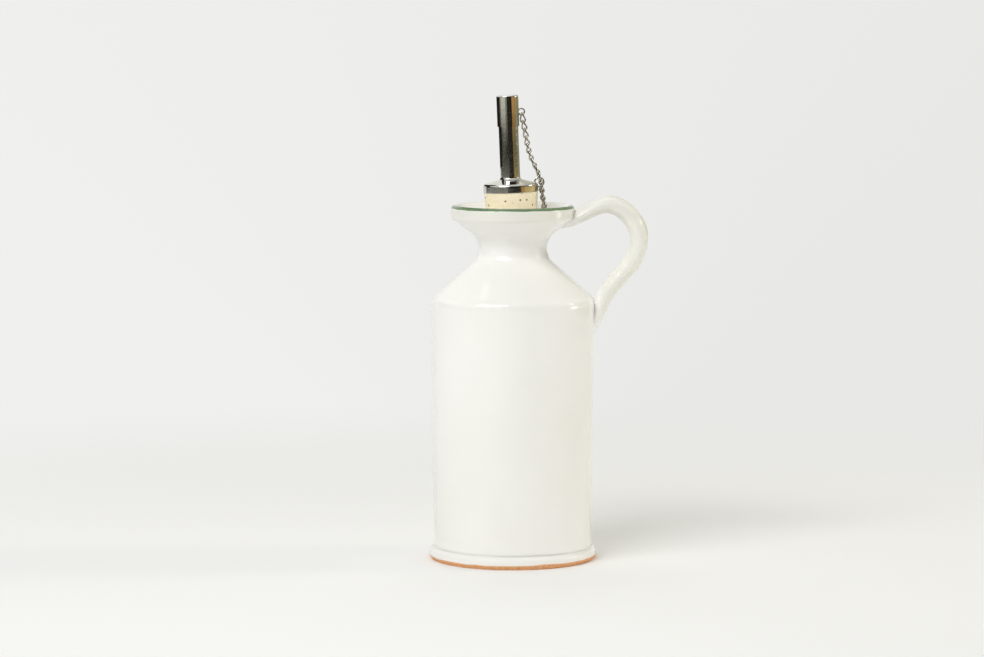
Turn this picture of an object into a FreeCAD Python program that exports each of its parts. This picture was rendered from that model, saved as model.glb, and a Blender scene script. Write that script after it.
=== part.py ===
# Hand-thrown earthenware oil cruet with a cork pourer, a push-on cap and its curb chain.
# Millimetres. Z is up, the origin is the middle of the base, and the handle is towards +X.

import FreeCAD
import Part
import math
import os

from FreeCAD import Placement, Rotation, Vector

# Bottle, driving sizes
bottle_height = 165.0
lip_radius = 28.7
lip_drop = 6.1
lip_round = 2.0
lip_side = 6.1
neck_radius = 15.9
neck_below_lip = 20.0
neck_curve = 9.0
throat_radius = 10.9
throat_ease = 4.9
shoulder_angle = 40.9
shoulder_round = 6.0
body_radius = 38.1
body_taper = 1.8
wall = 4.0
floor_thickness = 6.0
inside_corner = 5.0

# Foot of the bottle
foot_radius = 38.9
foot_height = 4.6
foot_bevel = 1.3
foot_bevel_height = 2.0
foot_cove = 8.0
groove_depth = 0.5
groove_height = 1.3

# Pulled handle
handle_reach = 24.6
handle_thickness = 8.6
handle_width = 13.0
handle_rise = 4.4
handle_root = 9.2
handle_root_depth = 4.1
handle_lug = 1.1
handle_foot_drop = 17.5
handle_foot_depth = 5.2

# Stopper: cork, spout and vent tube share one axis that leans in the throat
stopper_lean = 2.2
seat_below_lip = 17.0
cork_fit = 0.2
cork_radius = 12.5
cork_top = 23.0
cork_below = 9.0
cork_edge = 0.6
spout_radius = 4.63
spout_wall = 0.6
spout_top = 67.3
stem_radius = 4.4
stem_fit = 0.05
stem_below = 1.5
flange_radius = 12.75
flange_rim = 2.6
flange_round = 1.3
flange_rise = 5.6
flange_cove = 1.4
flange_shoulder = 1.6
vent_radius = 1.5
vent_wall = 0.35
vent_below = 29.0
vent_setback = 4.0
vent_fit = 0.04

# Cap
cap_radius = 5.15
cap_sheet = 0.35
cap_length = 14.45
cap_round = 0.8
cap_seat = 0.25
eyelet_radius = 1.43
eyelet_wire = 0.7
eyelet_stand = 1.1
eyelet_below_top = 7.9

# Chain
link_wire = 0.75
link_width = 3.0
link_pitch = 3.6
link_play = 0.08
link_turn = 6.0
hook_play = 0.12
link_twist = 42.0
run_links = 13
run_turn = 40.0
tail_links = 4
tail_turn = 65.0
ring_radius = 2.1
ring_wire = 0.8
ring_fit = 0.15
ring_above_edge = 0.1
ring_beside_edge = 0.55
ring_offset = 1.9
ring_hook_angle = 60.0
run_offset = 2.1
run_above_edge = 2.0
run_sag = 1.5
run_drop = 17.0
run_drift = 2.8
tail_drop = 14.8
tail_drift = 1.1
chain_gap = 0.5

# Worked out from the driving sizes
Y_AXIS = Vector(0, 1, 0)
Z_AXIS = Vector(0, 0, 1)
neck_height = bottle_height - neck_below_lip
seat_height = bottle_height - seat_below_lip
link_half = (link_pitch + link_play + link_wire) / 2
link_half_width = (link_width - link_wire) / 2
spout_bore = spout_radius - spout_wall
flange_top = cork_top + flange_rise
cap_top = spout_top + cap_seat + cap_sheet


def export(shape, name):
    shape.exportStep("parts/" + name + ".step")


def point(r, z):
    return Vector(r, 0, z)


def meet(r1, z1, slope1, r2, z2, slope2):
    """Where two sloping lines of a profile cross."""
    r = (z2 - z1 + slope1 * r1 - slope2 * r2) / (slope1 - slope2)
    return r, z1 + slope1 * (r - r1)


def rounded_profile(corners):
    """Closed face in the XZ plane: each corner is (r, z, rounding radius)."""
    edges = []
    starts = []
    ends = []
    count = len(corners)
    for i, (r, z, radius) in enumerate(corners):
        here = point(r, z)
        before = (point(*corners[i - 1][:2]) - here).normalize()
        after = (point(*corners[(i + 1) % count][:2]) - here).normalize()
        half = before.getAngle(after) / 2
        if radius == 0:
            starts.append(here)
            ends.append(here)
            continue
        reach = radius / math.tan(half)
        bisector = (before + after).normalize()
        centre = here + bisector * (radius / math.sin(half))
        starts.append(here + before * reach)
        ends.append(here + after * reach)
        middle = centre - bisector * radius
        edges.append((i, Part.Arc(starts[i], middle, ends[i]).toShape()))
    arcs = dict(edges)
    outline = []
    for i in range(count):
        if i in arcs:
            outline.append(arcs[i])
        following = (i + 1) % count
        if ends[i].distanceToPoint(starts[following]) > 1e-6:
            outline.append(Part.LineSegment(ends[i], starts[following]).toShape())
    return Part.Face(Part.Wire(outline))


def turned(corners):
    return rounded_profile(corners).revolve(Vector(0, 0, 0), Z_AXIS, 360)


def lean():
    """Stopper pieces are drawn upright about the throat, then leaned into place."""
    return Placement(Vector(0, 0, seat_height), Rotation(Y_AXIS, -stopper_lean))


def leaned(shape):
    return shape.transformed(lean().toMatrix(), True)


def shoulder_slope():
    return -math.tan(math.radians(shoulder_angle))


def flare_angle():
    """Slope of the line from the round of the neck out to the under edge of the lip."""
    run = lip_radius - neck_radius - neck_curve
    rise = bottle_height - lip_side - neck_height
    return math.degrees(math.atan2(rise, run) + math.acos(neck_curve / math.hypot(run, rise))) - 90


def flare_slope():
    return math.tan(math.radians(flare_angle()))


def flare_height(r):
    """Height of the flare's underside at a radius."""
    return bottle_height - lip_side - flare_slope() * (lip_radius - r)


def neck_touch(angle, side):
    """Where a line at this angle leaves the round of the neck, above or below it."""
    turn = math.radians(90 - angle)
    r = neck_radius + neck_curve * (1 - math.cos(turn))
    return r, neck_height + side * neck_curve * math.sin(turn)


def wall_radius(z):
    """Outer radius of the slightly tapered wall."""
    shoulder_height = wall_top()[1]
    return body_radius - body_taper * (shoulder_height - z) / shoulder_height


def wall_top():
    r, z = neck_touch(shoulder_angle, -1)
    return body_radius, z + shoulder_slope() * (body_radius - r)


def bottle_outside():
    low_r, low_z = neck_touch(shoulder_angle, -1)
    high_r, high_z = neck_touch(flare_angle(), 1)
    neck = meet(low_r, low_z, shoulder_slope(), high_r, high_z, flare_slope())
    shoulder = wall_top()
    groove = foot_height + groove_height
    return turned([
        (0, 0, 0),
        (foot_radius - foot_bevel, 0, 0.4),
        (foot_radius, foot_bevel_height, 0.8),
        (foot_radius - 0.2, foot_height, 1.0),
        (wall_radius(groove) + 0.6 - groove_depth, groove, 0.25),
        (wall_radius(groove) + 0.6, groove + 0.6, 0.3),
        (wall_radius(groove + foot_cove), groove + foot_cove / 2, foot_cove),
        (shoulder[0], shoulder[1], shoulder_round),
        (neck[0], neck[1], neck_curve),
        (lip_radius, bottle_height - lip_side, lip_round),
        (lip_radius, bottle_height, lip_round),
        (lip_radius - 2 * lip_round, bottle_height, lip_round),
        (0, bottle_height - lip_drop, 0),
    ])


def bottle_hollow():
    """Everything inside the wall, from the floor up through the throat and funnel."""
    offset = wall / math.cos(math.radians(shoulder_angle))
    low_r, low_z = neck_touch(shoulder_angle, -1)
    inner_wall = body_radius - wall
    inner_shoulder = low_z - offset + shoulder_slope() * (inner_wall - low_r)
    throat_low = low_z - offset + shoulder_slope() * (throat_radius - low_r)
    brim = lip_radius - lip_round
    throat_high = seat_height + throat_ease
    funnel_turn = math.pi / 2 - math.atan2(bottle_height - throat_high, brim - throat_radius)
    funnel_curve = throat_ease / math.tan(funnel_turn / 2)
    return turned([
        (0, floor_thickness, 0),
        (wall_radius(floor_thickness) - wall, floor_thickness, inside_corner),
        (inner_wall, inner_shoulder, shoulder_round),
        (throat_radius, throat_low, neck_curve - 2),
        (throat_radius, throat_high, funnel_curve),
        (brim, bottle_height, 0),
        (brim, bottle_height + lip_drop, 0),
        (0, bottle_height + lip_drop, 0),
    ])


def handle_stations():
    """Middle of the pulled strap as (x, z, thickness, width), from the lip round to the wall."""
    far = body_radius + handle_reach - handle_thickness / 2
    crown = bottle_height + handle_rise - handle_thickness / 2
    foot = wall_top()[1] - handle_foot_drop
    side = wall_radius(foot)
    root = lip_radius - handle_root
    lug = lip_radius - 0.34 * handle_root
    drop = crown - foot
    bow = far - lip_radius
    low = far - side
    neck = lip_radius + 0.08 * bow
    return [
        (root, flare_height(root) + handle_root_depth, 0.50 * handle_thickness, 1.10 * handle_width),
        (lug, flare_height(lug) + handle_lug, 0.74 * handle_thickness, 1.16 * handle_width),
        (neck, flare_height(lip_radius) + handle_lug, 0.78 * handle_thickness, 1.14 * handle_width),
        (lip_radius + 0.34 * bow, crown - 0.019 * drop, 0.88 * handle_thickness, 1.08 * handle_width),
        (lip_radius + 0.62 * bow, crown - 0.005 * drop, handle_thickness, 1.03 * handle_width),
        (lip_radius + 0.86 * bow, crown - 0.087 * drop, 1.03 * handle_thickness, handle_width),
        (far, crown - 0.220 * drop, handle_thickness, 0.98 * handle_width),
        (lip_radius + 0.96 * bow, crown - 0.378 * drop, 0.96 * handle_thickness, 0.95 * handle_width),
        (side + 0.65 * low, crown - 0.520 * drop, 0.95 * handle_thickness, 0.93 * handle_width),
        (side + 0.31 * low, crown - 0.656 * drop, 0.94 * handle_thickness, 0.92 * handle_width),
        (side + 0.06 * low, crown - 0.810 * drop, 0.92 * handle_thickness, 0.94 * handle_width),
        (side - handle_foot_depth, foot, 0.88 * handle_thickness, handle_width),
    ]


def handle():
    stations = handle_stations()
    middle = Part.BSplineCurve()
    middle.interpolate([point(x, z) for x, z, thickness, width in stations])
    ovals = []
    for x, z, thickness, width in stations:
        along = middle.tangent(middle.parameter(point(x, z)))[0]
        across = Y_AXIS.cross(along)
        oval = Part.Ellipse(Vector(0, 0, 0), width / 2, thickness / 2).toShape()
        seat = Placement(point(x, z), Rotation(Y_AXIS, across, along, "ZXY"))
        ovals.append(Part.Wire(oval.transformed(seat.toMatrix(), True)))
    return Part.makeLoft(ovals, True, False)


def bottle():
    """Thrown pot and pulled handle, joined while soft and fired as one piece."""
    return bottle_outside().fuse(handle()).cut(bottle_hollow()).removeSplitter()


def stopper_cork():
    seat_radius = throat_radius - cork_fit
    taper = (cork_radius - seat_radius) / cork_top
    bore = stem_radius + stem_fit
    return leaned(turned([
        (bore, -cork_below, 0),
        (seat_radius - taper * cork_below, -cork_below, cork_edge),
        (cork_radius, cork_top, 0),
        (bore, cork_top, 0),
    ]))


def spout():
    """Turned tube and flange, with a hole through the corner of the flange for the jump ring."""
    neck = flange_top + flange_cove
    tube = turned([
        (stem_radius - spout_wall, -cork_below - stem_below, 0),
        (stem_radius, -cork_below - stem_below, 0),
        (stem_radius, cork_top, 0),
        (flange_radius, cork_top, 0.3),
        (flange_radius, cork_top + flange_rim + flange_round, flange_round),
        (spout_radius + flange_shoulder, flange_top, 6.0),
        (spout_radius, flange_top + 0.4, flange_cove),
        (spout_radius, spout_top, 0.2),
        (spout_bore, spout_top, 0.2),
        (spout_bore, neck, 0),
        (stem_radius - spout_wall, neck - spout_wall, 0),
    ])
    return leaned(tube).cut(ring(ring_middle(), Y_AXIS, ring_radius, ring_wire + 2 * ring_fit))


def vent_tube():
    middle = Vector(spout_bore - vent_radius - vent_fit - (spout_radius - stem_radius), 0, -vent_below)
    length = vent_below + spout_top - vent_setback
    tube = Part.makeCylinder(vent_radius, length, middle, Z_AXIS)
    return leaned(tube.cut(Part.makeCylinder(vent_radius - vent_wall, length, middle, Z_AXIS)))


def cap():
    low = cap_top - cap_length
    inner = cap_radius - cap_sheet
    return leaned(turned([
        (0, cap_top - cap_sheet, 0),
        (inner, cap_top - cap_sheet, cap_round - cap_sheet),
        (inner, low, 0),
        (cap_radius, low, 0),
        (cap_radius, cap_top, cap_round),
        (0, cap_top, 0),
    ]))


def ring(centre, axis, radius, wire):
    return Part.makeTorus(radius, wire / 2, centre, axis)


def eyelet_middle():
    return Vector(cap_radius + eyelet_stand, 0, cap_top - eyelet_below_top)


def cap_eyelet():
    """Wire loop brazed to the side of the cap."""
    loop = ring(eyelet_middle(), Y_AXIS, eyelet_radius, eyelet_wire)
    barrel = Part.makeCylinder(cap_radius, cap_length, Vector(0, 0, cap_top - cap_length), Z_AXIS)
    return leaned(loop.cut(barrel))


def ring_middle():
    """The jump ring stands upright and encloses the corner of the flange."""
    corner = lean().multVec(point(flange_radius, cork_top + flange_rim + flange_round))
    return corner + Vector(ring_beside_edge, ring_offset, ring_above_edge)


def jump_ring():
    return ring(ring_middle(), Y_AXIS, ring_radius, ring_wire)


def ring_hook():
    """The low outer side of the jump ring, where the tail of the chain hangs."""
    turn = math.radians(ring_hook_angle)
    return ring_middle() + Vector(math.sin(turn), 0, -math.cos(turn)) * ring_radius


def run_bend():
    """Where the run of the chain lies against the edge of the flange."""
    edge = lean().multVec(point(flange_radius, cork_top + flange_rim))
    return Vector(edge.x + chain_gap + link_wire, -run_offset, edge.z + run_above_edge)


def eyelet_hook():
    """The low outer side of the cap's eyelet, where the run of the chain hangs."""
    middle = lean().multVec(eyelet_middle())
    down = run_bend() - middle
    return middle + Vector(down.x, 0, down.z).normalize() * eyelet_radius


def run_route():
    start = eyelet_hook()
    bend = run_bend()
    return [
        start,
        start + (bend - start) * 0.35 + Vector(-0.8 * run_sag, 0, 0),
        start + (bend - start) * 0.68 + Vector(-run_sag, 0, 0),
        bend,
        bend + Vector(0.09 * run_drift, 0, -0.25 * run_drop),
        bend + Vector(0.36 * run_drift, 0, -0.52 * run_drop),
        bend + Vector(0.82 * run_drift, 0, -0.80 * run_drop),
        bend + Vector(run_drift, 0, -run_drop),
    ]


def tail_route():
    start = ring_hook()
    return [
        start,
        start + Vector(0.18 * tail_drift, 0, -0.28 * tail_drop),
        start + Vector(0, 0, -0.54 * tail_drop),
        start + Vector(0.27 * tail_drift, 0, -0.77 * tail_drop),
        start + Vector(tail_drift, 0, -tail_drop),
    ]


def twisted_link():
    """One curb link about the origin, long way up Z, its two ends turned opposite ways."""
    straight = link_half - link_half_width
    rim = []
    for turn in range(0, 360, 45):
        angle = math.radians(turn)
        across = link_half_width * math.cos(angle)
        up = link_half_width * math.sin(angle)
        if abs(up) > 1e-9:
            up += math.copysign(straight, up)
        rim.append((across, up))
    points = []
    for across, up in rim:
        twist = math.radians(link_twist * up / link_half)
        points.append(Vector(across * math.cos(twist), across * math.sin(twist), up))
    path = Part.BSplineCurve()
    path.interpolate(Points=points, PeriodicFlag=True)
    middle = (path.FirstParameter + path.LastParameter) / 2
    faces = []
    for first, last in ((path.FirstParameter, middle), (middle, path.LastParameter)):
        section = Part.Circle(path.value(first), path.tangent(first)[0], link_wire / 2).toShape()
        half = Part.Wire(path.toShape(first, last)).makePipeShell([Part.Wire(section)], False, False)
        faces += half.Faces
    skin = Part.Shell(faces)
    skin.sewShape()
    return Part.Solid(skin)


def chain(loop_middle, loop_wire, route, count, first_turn):
    """Links that hang from a wire loop and follow a route, each turned a little past the last."""
    curve = Part.BSplineCurve()
    curve.interpolate(route)
    line = curve.toShape()
    pattern = twisted_link()
    carrier = route[0]
    pull = (carrier - loop_middle).normalize()
    gap = (loop_wire + link_wire) / 2 + hook_play
    before = pull
    side = pull.cross(Y_AXIS)
    links = []
    for i in range(count):
        reach = min((i + 1) * link_pitch, line.Length)
        down = (line.valueAt(line.getParameterByLength(reach)) - carrier).normalize()
        bisector = before + down if links else pull
        top = carrier - bisector.normalize() * gap
        side = (side - down * side.dot(down)).normalize()
        seat = Placement(top + down * link_half, Rotation(side, Vector(), -down, "ZXY"))
        spin = Placement(Vector(), Rotation(Z_AXIS, first_turn + i * link_turn))
        links.append(pattern.transformed(seat.multiply(spin).toMatrix(), True))
        carrier = top + down * 2 * link_half
        gap = link_wire + link_play
        before = down
    return links


os.makedirs("parts", exist_ok=True)

export(bottle(), "bottle")
export(stopper_cork(), "stopper_cork")
export(spout(), "spout")
export(vent_tube(), "vent_tube")
export(cap(), "cap")
export(cap_eyelet(), "cap_eyelet")
export(jump_ring(), "jump_ring")

run = chain(lean().multVec(eyelet_middle()), eyelet_wire, run_route(), run_links, run_turn)
tail = chain(ring_middle(), ring_wire, tail_route(), tail_links, tail_turn)
for number, link in enumerate(run + tail, 1):
    export(link, "chain_link_%02d" % number)
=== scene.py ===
# Looks of the oil cruet: tin-glazed earthenware bottle, cork pourer with its cap and curb chain.
# Metres, in the part's own frame: Z is up, the base's middle is the origin, the handle is towards +X.
# Places of lamps and cards, and the cards' distances and heights, are in millimetres.

import math

import bmesh
import bpy
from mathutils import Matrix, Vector


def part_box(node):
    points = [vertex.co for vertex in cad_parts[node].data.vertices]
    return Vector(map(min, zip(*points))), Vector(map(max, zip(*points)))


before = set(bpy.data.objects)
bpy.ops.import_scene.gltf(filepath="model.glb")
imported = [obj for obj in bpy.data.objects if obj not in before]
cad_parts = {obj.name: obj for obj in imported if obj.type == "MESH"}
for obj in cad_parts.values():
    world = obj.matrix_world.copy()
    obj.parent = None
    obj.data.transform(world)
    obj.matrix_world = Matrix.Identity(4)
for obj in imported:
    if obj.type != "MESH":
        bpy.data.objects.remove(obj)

scene = bpy.context.scene
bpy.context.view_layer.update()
MM = 0.001


def lip_size():
    """Radius and height of the lip, on the side without the handle, which the bottle's box takes in."""
    flare_low = 0.9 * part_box("bottle")[1].z
    points = [v.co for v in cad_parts["bottle"].data.vertices if v.co.x < 0 and v.co.z > flare_low]
    return max(math.hypot(p.x, p.y) for p in points), max(p.z for p in points)


# Sizes read from the part
lip_radius, lip_top = lip_size()
foot_radius = -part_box("bottle")[0].x

# Camera, from the photograph's perspective
CAMERA_PLACE = Vector((-9.65, -1700.0, 280.7)) * MM
CAMERA_PITCH = math.radians(5.82)
CAMERA_LENS = 134.45
SENSOR = 36.0

# At the pourer: slope of the sight line, and the stopper's lean
SIGHT_SLOPE = -0.0475
POURER_LEAN = math.tan(math.radians(2.2))

# Painted line and bare foot, each with how far its edge wavers
LINE_WIDTH = 1.25 * MM
LINE_WAVER = 0.7 * MM
LINE_INNER = lip_radius - 2.0 * MM
LINE_OUTER = lip_radius + 0.5 * MM
FOOT_BARE = 2.1 * MM
FOOT_WAVER = 1.6 * MM

# Throwing rings: a wave texture of scale 1 has WAVE_BANDS / tau bands for each metre
RING_PITCH = 7 * MM
WAVE_BANDS = 20

# Floor, in metres from the part: where its paper turns into backdrop, and that into the world's tone
PAPER_ENDS = (0.20, 0.62)
HORIZON = (20.0, 29.0)
FLOOR_RADIUS = 30.0


def linear(code):
    """sRGB hex colour as the linear colour that a socket takes."""
    channels = []
    for i in (0, 2, 4):
        level = int(code[i:i + 2], 16) / 255
        channels.append(level / 12.92 if level <= 0.04045 else ((level + 0.055) / 1.055) ** 2.4)
    return (*channels, 1.0)


def fill(tree, socket, value):
    """Links a socket to another one, or sets its constant."""
    if isinstance(value, bpy.types.NodeSocket):
        tree.links.new(value, socket)
    else:
        socket.default_value = value


def add(tree, kind, inputs=None, **settings):
    """Adds one shader node, sets its settings, then fills its inputs."""
    node = tree.nodes.new(kind)
    for name, value in settings.items():
        setattr(node, name, value)
    for key, value in (inputs or {}).items():
        fill(tree, node.inputs[key], value)
    return node


def blank(name):
    """An empty node material, its tree and its output node."""
    material = bpy.data.materials.new(name)
    material.use_nodes = True
    material.node_tree.nodes.clear()
    output = add(material.node_tree, "ShaderNodeOutputMaterial")
    return material, material.node_tree, output


def place(tree):
    """Object coordinates in metres."""
    return add(tree, "ShaderNodeTexCoord").outputs["Object"]


def calc(tree, operation, *values):
    """One step of arithmetic."""
    return add(tree, "ShaderNodeMath", dict(enumerate(values)), operation=operation).outputs[0]


def inverse(tree, mask):
    """1 minus the mask."""
    return calc(tree, "SUBTRACT", 1.0, mask)


def split(tree, here):
    """The X, Y and Z of a place, and its distance from the Z axis."""
    axes = add(tree, "ShaderNodeSeparateXYZ", {"Vector": here}).outputs
    squares = [calc(tree, "MULTIPLY", axes[key], axes[key]) for key in "XY"]
    return axes, calc(tree, "SQRT", calc(tree, "ADD", *squares))


def noise(tree, where, size, detail=2.0, rough=0.5):
    """Noise from 0 to 1 whose features are about this size in metres."""
    inputs = {"Vector": where, "Scale": 1 / size, "Detail": detail, "Roughness": rough}
    return add(tree, "ShaderNodeTexNoise", inputs).outputs["Fac"]


def dots(tree, where, spacing, left_out):
    """Distance to the nearest dot, in spacings, and a mask that leaves out this share of the dots."""
    cells = add(tree, "ShaderNodeTexVoronoi", {"Vector": where, "Scale": 1 / spacing}).outputs
    draw = add(tree, "ShaderNodeSeparateColor", {"Color": cells["Color"]}).outputs[0]
    return cells["Distance"], calc(tree, "GREATER_THAN", draw, left_out)


def ramp(tree, level, low, high):
    """0 at low, 1 at high, smooth between. High may be the smaller one."""
    return add(tree, "ShaderNodeMapRange", {"Value": level, "From Min": low, "From Max": high},
               interpolation_type="SMOOTHSTEP").outputs["Result"]


def mix(tree, amount, first, second):
    """Colour mix."""
    node = add(tree, "ShaderNodeMix", data_type="RGBA")
    live = {socket.name: socket for socket in node.inputs if socket.enabled}
    for key, value in (("Factor", amount), ("A", first), ("B", second)):
        fill(tree, live[key], value)
    return next(socket for socket in node.outputs if socket.enabled)


def coat(tree, output, **inputs):
    """Ends a material with a principled surface. Underlines in the names stand for spaces."""
    named = {name.replace("_", " "): value for name, value in inputs.items()}
    shader = add(tree, "ShaderNodeBsdfPrincipled", named)
    tree.links.new(shader.outputs[0], output.inputs["Surface"])


def thin_glaze_and_shade(tree, radius, z):
    """Masks of the lip's outer edge and of the handle, where the glaze ran off. What they darken is partly
    thin glaze and partly painted shade.
    """
    outer = ramp(tree, radius, lip_radius - 1.3 * MM, lip_radius - 0.3 * MM)
    lip_edge = calc(tree, "MULTIPLY", outer, ramp(tree, z, lip_top - 8 * MM, lip_top - 5 * MM))
    past_lip = ramp(tree, radius, lip_radius + 1.3 * MM, lip_radius + 6.3 * MM)
    upper = calc(tree, "MULTIPLY", past_lip, ramp(tree, z, lip_top - 27 * MM, lip_top - 15 * MM))
    past_body = ramp(tree, radius, foot_radius + 0.7 * MM, foot_radius + 4.1 * MM)
    return lip_edge, calc(tree, "MAXIMUM", upper, past_body)


def painted_line(tree, here, radius, z):
    """Mask and paint of the line on the edge of the lip, a brush wide and a little uneven."""
    lowest = lip_top - LINE_WIDTH - LINE_WAVER / 2
    edge = calc(tree, "MULTIPLY_ADD", noise(tree, here, 9 * MM), LINE_WAVER, lowest)
    line = ramp(tree, calc(tree, "SUBTRACT", z, edge), -0.10 * MM, 0.12 * MM)
    line = calc(tree, "MULTIPLY", line, ramp(tree, radius, LINE_INNER, LINE_INNER + 0.5 * MM))
    outside = ramp(tree, radius, LINE_OUTER, LINE_OUTER + 0.6 * MM)
    line = calc(tree, "MULTIPLY", line, inverse(tree, outside))
    strokes = noise(tree, here, 2.4 * MM, detail=3.0)
    paint = mix(tree, ramp(tree, strokes, 0.3, 0.7), linear("2C5624"), linear("4C7836"))
    return line, paint


def bare_foot(tree, here, z):
    """Mask of the wiped foot, the grain of the clay's grog, and the clay's colour."""
    tide = calc(tree, "MULTIPLY_ADD", noise(tree, here, 14 * MM), FOOT_WAVER, FOOT_BARE - FOOT_WAVER / 2)
    bare = inverse(tree, ramp(tree, calc(tree, "SUBTRACT", z, tide), -0.25 * MM, 0.25 * MM))
    grog = noise(tree, here, 0.8 * MM, detail=3.0, rough=0.6)
    clay = mix(tree, ramp(tree, grog, 0.3, 0.7), linear("DE985A"), linear("F0BE90"))
    return bare, grog, clay


def hand_marks(tree, here):
    """Height, in millimetres, of the throwing rings, the fingers' drag and the glaze's orange peel."""
    rings = add(tree, "ShaderNodeTexWave",
                {"Vector": here, "Scale": math.tau / (WAVE_BANDS * RING_PITCH), "Distortion": 1.2,
                 "Detail": 1.0, "Detail Scale": 0.4},
                wave_type="BANDS", bands_direction="Z").outputs["Fac"]
    drag = noise(tree, here, 24 * MM)
    orange_peel = noise(tree, here, 1.3 * MM, detail=1.0)
    height = calc(tree, "MULTIPLY_ADD", drag, 0.30, calc(tree, "MULTIPLY", orange_peel, 0.006))
    return calc(tree, "MULTIPLY_ADD", rings, 0.035, height)


def tin_glazed_earthenware():
    """Thrown red clay under a white tin glaze: deep wet gloss, faint throwing rings, warm where it thins.
    A hand-painted copper-green line goes round the lip, and the wiped foot shows the bare orange clay."""
    material, tree, output = blank("tin_glazed_earthenware")
    here = place(tree)
    axes, radius = split(tree, here)

    # Cloudy, and creamier where it is thin. On the handle and the lip's outer edge the darker cream is also
    # painted shade
    clouds = noise(tree, here, 46 * MM)
    colour = mix(tree, ramp(tree, clouds, 0.25, 0.75), linear("F1F0EA"), linear("F5F4F0"))
    lip_edge, strap = thin_glaze_and_shade(tree, radius, axes["Z"])
    colour = mix(tree, strap, colour, linear("ECEBE2"))
    colour = mix(tree, lip_edge, colour, linear("E8E7DE"))

    # A rare dark fleck of iron from the clay
    distance, kept = dots(tree, here, 13 * MM, left_out=0.93)
    fleck = calc(tree, "MULTIPLY", inverse(tree, ramp(tree, distance, 0.018, 0.032)), kept)
    colour = mix(tree, calc(tree, "MULTIPLY", fleck, 0.75), colour, linear("7D6A4E"))

    line, paint = painted_line(tree, here, radius, axes["Z"])
    colour = mix(tree, calc(tree, "MULTIPLY", line, 0.92), colour, paint)
    bare, grog, clay = bare_foot(tree, here, axes["Z"])
    colour = mix(tree, bare, colour, clay)

    # Hand marks everywhere, grog where the clay is bare, and glaze pooled round every edge
    pits = calc(tree, "MULTIPLY", bare, grog)
    height = calc(tree, "MULTIPLY_ADD", pits, 0.12, hand_marks(tree, here))
    pooled = add(tree, "ShaderNodeBevel", {"Radius": 2.0 * MM}, samples=8).outputs[0]
    bump = add(tree, "ShaderNodeBump",
               {"Height": height, "Strength": 0.6, "Distance": 1 * MM, "Normal": pooled})

    gloss = calc(tree, "MULTIPLY_ADD", noise(tree, here, 11 * MM), 0.06, 0.075)
    roughness = calc(tree, "MULTIPLY_ADD", bare, 0.72, gloss)
    coat(tree, output, Base_Color=colour, Roughness=roughness, IOR=1.52, Normal=bump.outputs["Normal"])
    return material


def natural_cork():
    """Fine-grained pressed cork: matt straw colour, darker grains, with small brown lenticels and pits."""
    material, tree, output = blank("natural_cork")
    here = place(tree)
    grain = noise(tree, here, 1.1 * MM, detail=3.0, rough=0.6)
    patch = noise(tree, here, 6 * MM)
    straw = mix(tree, ramp(tree, grain, 0.3, 0.7), linear("F6E9C4"), linear("FDF3DA"))
    straw = mix(tree, calc(tree, "MULTIPLY", ramp(tree, patch, 0.5, 0.8), 0.30), straw, linear("E9D19C"))
    distance, kept = dots(tree, here, 2.7 * MM, left_out=0.12)
    ragged = calc(tree, "MULTIPLY_ADD", noise(tree, here, 0.5 * MM), 0.16, distance)
    pit = calc(tree, "MULTIPLY", inverse(tree, ramp(tree, ragged, 0.21, 0.31)), kept)
    colour = mix(tree, calc(tree, "MULTIPLY", pit, 0.85), straw, linear("6F4A26"))
    height = calc(tree, "MULTIPLY_ADD", pit, -0.5, calc(tree, "MULTIPLY", grain, 0.22))
    bump = add(tree, "ShaderNodeBump", {"Height": height, "Strength": 0.8, "Distance": 0.5 * MM})
    coat(tree, output, Base_Color=colour, Roughness=0.88, IOR=1.45, Normal=bump.outputs["Normal"])
    return material


def metal(name, tone, worn, rough, scratch, dent):
    """Bare or plated metal with handling smears and fine marks round it, scratch metres apart."""
    material, tree, output = blank(name)
    here = place(tree)
    smear = noise(tree, here, 7 * MM, detail=3.0, rough=0.6)
    colour = mix(tree, ramp(tree, smear, 0.35, 0.7), linear(tone), linear(worn))
    around = add(tree, "ShaderNodeMapping", {"Vector": here, "Scale": (1.0, 1.0, 7.0)}).outputs["Vector"]
    marks = noise(tree, around, scratch, rough=0.7)
    roughness = calc(tree, "MULTIPLY_ADD", calc(tree, "MULTIPLY", smear, marks), 0.16, rough)
    bump = add(tree, "ShaderNodeBump", {"Height": marks, "Strength": dent, "Distance": 0.05 * MM})
    coat(tree, output, Base_Color=colour, Metallic=1.0, Roughness=roughness, Normal=bump.outputs["Normal"])
    return material


def chrome_plated_brass():
    """Turned and plated tube and flange: near-mirror, with faint smears and hair scratches round it."""
    return metal("chrome_plated_brass", "CFCFCC", "C2C2BD", rough=0.05, scratch=1.6 * MM, dent=0.20)


def drawn_steel_wire():
    """Bright drawn wire of the chain and ring: silvery, a little duller and warmer than the plating."""
    return metal("drawn_steel_wire", "B7B3A9", "9B968A", rough=0.14, scratch=0.9 * MM, dent=0.25)


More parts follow.
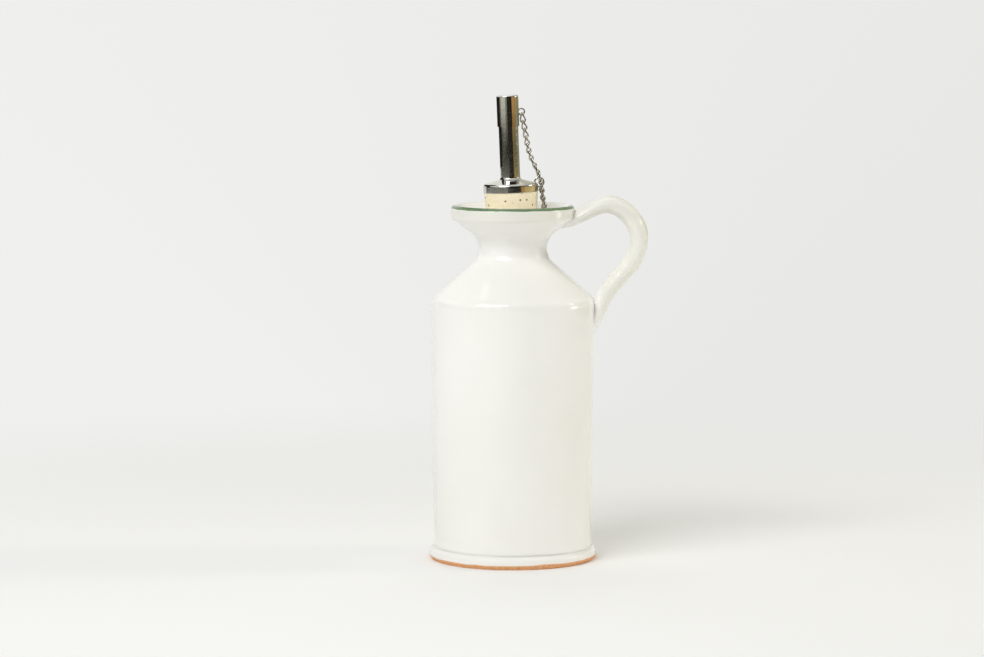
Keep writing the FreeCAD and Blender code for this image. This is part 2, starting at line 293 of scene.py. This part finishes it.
def studio_floor():
    """White sweep: a matt paper floor that holds the soft shadow near the part, with painted light that
    makes its paper a level lighter behind than in front.
    It fades to the backdrop's even tone, with painted shade a touch greyer to the right, and far away to
    the world's tone."""
    material, tree, output = blank("studio_floor")
    axes, radius = split(tree, place(tree))
    # Painted light: the paper a level lighter behind the part than in front
    front = ramp(tree, calc(tree, "MULTIPLY_ADD", axes["X"], -0.25, axes["Y"]), 0.10, -0.02)
    white = mix(tree, front, linear("F6F6F4"), linear("F5F5F3"))
    paper = add(tree, "ShaderNodeBsdfDiffuse", {"Color": white})
    # Painted shade: the backdrop's glow a touch greyer to the right
    right = ramp(tree, calc(tree, "DIVIDE", axes["X"], radius), -0.25, 0.25)
    tone = mix(tree, right, linear("F0F0EE"), linear("E8E8E6"))
    tone = mix(tree, ramp(tree, radius, *HORIZON), tone, linear("EEEEEC"))
    backdrop = add(tree, "ShaderNodeEmission", {"Color": tone, "Strength": 1.0})
    away = ramp(tree, radius, *PAPER_ENDS)
    blend = add(tree, "ShaderNodeMixShader", {0: away, 1: paper.outputs[0], 2: backdrop.outputs[0]})
    tree.links.new(blend.outputs[0], output.inputs["Surface"])
    return material


def make_floor():
    """Round floor, too wide for its edge to be seen."""
    mesh = bpy.data.meshes.new("floor")
    shape = bmesh.new()
    bmesh.ops.create_circle(shape, cap_ends=True, radius=FLOOR_RADIUS, segments=64)
    shape.to_mesh(mesh)
    shape.free()
    floor = bpy.data.objects.new("floor", mesh)
    scene.collection.objects.link(floor)
    mesh.materials.append(studio_floor())


def make_world():
    """Even studio surround, with the backdrop's tone wherever it is seen or mirrored."""
    world = bpy.data.worlds.new("studio")
    world.use_nodes = True
    tree = world.node_tree
    tree.nodes.clear()
    ray = add(tree, "ShaderNodeLightPath").outputs
    mirrored = calc(tree, "MAXIMUM", ray["Is Glossy Ray"], ray["Is Transmission Ray"])
    seen = calc(tree, "MAXIMUM", ray["Is Camera Ray"], mirrored)
    surround = add(tree, "ShaderNodeBackground", {"Color": linear("F3F2EE"), "Strength": 0.54})
    backdrop = add(tree, "ShaderNodeBackground", {"Color": linear("EEEEEC"), "Strength": 1.0})
    blend = add(tree, "ShaderNodeMixShader", {0: seen, 1: surround.outputs[0], 2: backdrop.outputs[0]})
    output = add(tree, "ShaderNodeOutputWorld")
    tree.links.new(blend.outputs[0], output.inputs["Surface"])
    scene.world = world


def softbox(name, place_mm, aim_mm, width, height, power, colour="FFFFFF"):
    """Rectangular lamp, width and height in metres and power in watts, turned to its aim."""
    lamp = bpy.data.lights.new(name, "AREA")
    lamp.shape = "RECTANGLE"
    lamp.size = width
    lamp.size_y = height
    lamp.energy = power
    lamp.color = linear(colour)[:3]
    holder = bpy.data.objects.new(name, lamp)
    holder.location = Vector(place_mm) * MM
    aim = Vector(aim_mm) * MM - holder.location
    holder.rotation_euler = aim.to_track_quat("-Z", "Y").to_euler()
    scene.collection.objects.link(holder)


def card(name, first, last, distance, low, high, tone, slope=0.0, lean=0.0):
    """Studio card that only shows in reflections: an upright arc round the part.
    It spans from first to last, in degrees to the right of the camera's side. Slope lifts it all, and lean
    its right side, by that much for each millimetre of distance."""
    steps = 12
    mesh = bpy.data.meshes.new(name)
    shape = bmesh.new()
    columns = []
    for i in range(steps + 1):
        turn = math.radians(first + (last - first) * i / steps)
        across = distance * math.sin(turn)
        along = -distance * math.cos(turn)
        lift = distance * slope + across * lean
        columns.append([shape.verts.new(Vector((across, along, z + lift)) * MM) for z in (low, high)])
    for before, after in zip(columns, columns[1:]):
        shape.faces.new((before[0], after[0], after[1], before[1]))
    shape.to_mesh(mesh)
    shape.free()
    material, tree, output = blank(name)
    glow = add(tree, "ShaderNodeEmission", {"Color": linear(tone), "Strength": 1.0})
    tree.links.new(glow.outputs[0], output.inputs["Surface"])
    mesh.materials.append(material)
    panel = bpy.data.objects.new(name, mesh)
    scene.collection.objects.link(panel)
    for kind in ("camera", "diffuse", "transmission", "volume_scatter", "shadow"):
        setattr(panel, "visible_" + kind, False)


def pourer_card(name, first, last, low, high, tone, distance=300):
    """Near card whose low and high are the heights on the pourer between which it shows."""
    card(name, first, last, distance, low, high, tone, SIGHT_SLOPE, POURER_LEAN)


def light_room():
    """Lamps, and the cards that the glaze and the metal mirror."""
    softbox("key_softbox", (-680, -1055, 1195), (0, 0, 90), 1.05, 0.5, 14.1, "FBFCFF")
    softbox("back_softbox", (-100, 700, 1500), (0, 0, 60), 1.2, 0.9, 3.7)
    softbox("warm_strip", (1300, 100, 400), (0, 0, 110), 0.3, 0.7, 4.4, "FFFBE4")
    card("dark_front", -20, 85, 900, 75, 900, "2C2922")
    card("dark_left", -125, -20, 900, 75, 420, "26231E")
    card("white_sweep", 180, 245, 1500, 60, 1000, "E9E9E7")
    card("wood_right", 92, 132, 600, 48, 112, "8A5A2C")
    card("white_behind", 176, 265, 900, 340, 6000, "FFFFF6")
    card("pale_behind", 110, 176, 900, 340, 6000, "D2CEBE")


def light_pourer():
    """Cards for the bright metal. Their heights come from the part, in millimetres, a little past its
    edges, because the plating blurs what it mirrors."""
    cork_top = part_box("stopper_cork")[1].z / MM
    cap_low, cap_high = (corner.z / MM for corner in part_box("cap"))
    cap_edge = cap_low + 2.4
    cap_over = cap_high + 24
    band_under = cork_top - 21.5
    band_over = cork_top + 2.5
    tube_foot = cork_top + 0.5
    pourer_card("pourer_dark", -148, -88, cork_top + 10.5, cap_high + 8, "24221D", distance=36)
    pourer_card("cap_grey", -92, -76, cap_edge, cap_over, "8A887C")
    pourer_card("cap_white", -76, -27, cap_edge, cap_over, "DEDCCC")
    pourer_card("cap_shade", -27, -10, cap_edge, cap_over, "A09E92")
    pourer_card("cap_amber", 41, 72, cap_edge, cap_over, "D09C56")
    pourer_card("cap_olive", 72, 150, cap_edge, cap_over, "A09164")
    pourer_card("tube_brown", -86, -46, tube_foot + 4, cap_edge, "423F35")
    pourer_card("tube_khaki", 45, 62, tube_foot, cap_edge, "7E744E")
    pourer_card("tube_olive", 62, 96, tube_foot, cap_edge, "766E50")
    pourer_card("tube_pale", 96, 150, tube_foot, cap_edge, "A09A80")
    pourer_card("band_grey", -84, -12, band_under, band_over, "A6A498")
    pourer_card("band_amber", 43, 60, band_under, tube_foot, "D6AB67")
    pourer_card("band_gold", 60, 118, band_under, tube_foot, "EED088")
    pourer_card("band_khaki", 118, 160, band_under, tube_foot, "B0A070")


def make_camera():
    """Camera at the photographer's place, level from side to side."""
    lens = bpy.data.cameras.new("camera")
    lens.lens = CAMERA_LENS
    lens.sensor_width = SENSOR
    lens.clip_start = 0.05
    lens.clip_end = 200.0
    camera = bpy.data.objects.new("camera", lens)
    camera.location = CAMERA_PLACE
    camera.rotation_euler = (math.pi / 2 - CAMERA_PITCH, 0.0, 0.0)
    scene.collection.objects.link(camera)
    scene.camera = camera


def dress(names, material):
    """Gives CAD nodes their finish."""
    for name in names:
        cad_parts[name].data.materials.clear()
        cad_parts[name].data.materials.append(material)


scene.view_settings.view_transform = "Standard"
chain_nodes = [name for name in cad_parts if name.startswith("chain_link")]
dress(["bottle"], tin_glazed_earthenware())
dress(["stopper_cork"], natural_cork())
dress(["spout", "vent_tube", "cap"], chrome_plated_brass())
dress(["cap_eyelet", "jump_ring"] + chain_nodes, drawn_steel_wire())
make_floor()
make_world()
light_room()
light_pourer()
make_camera()
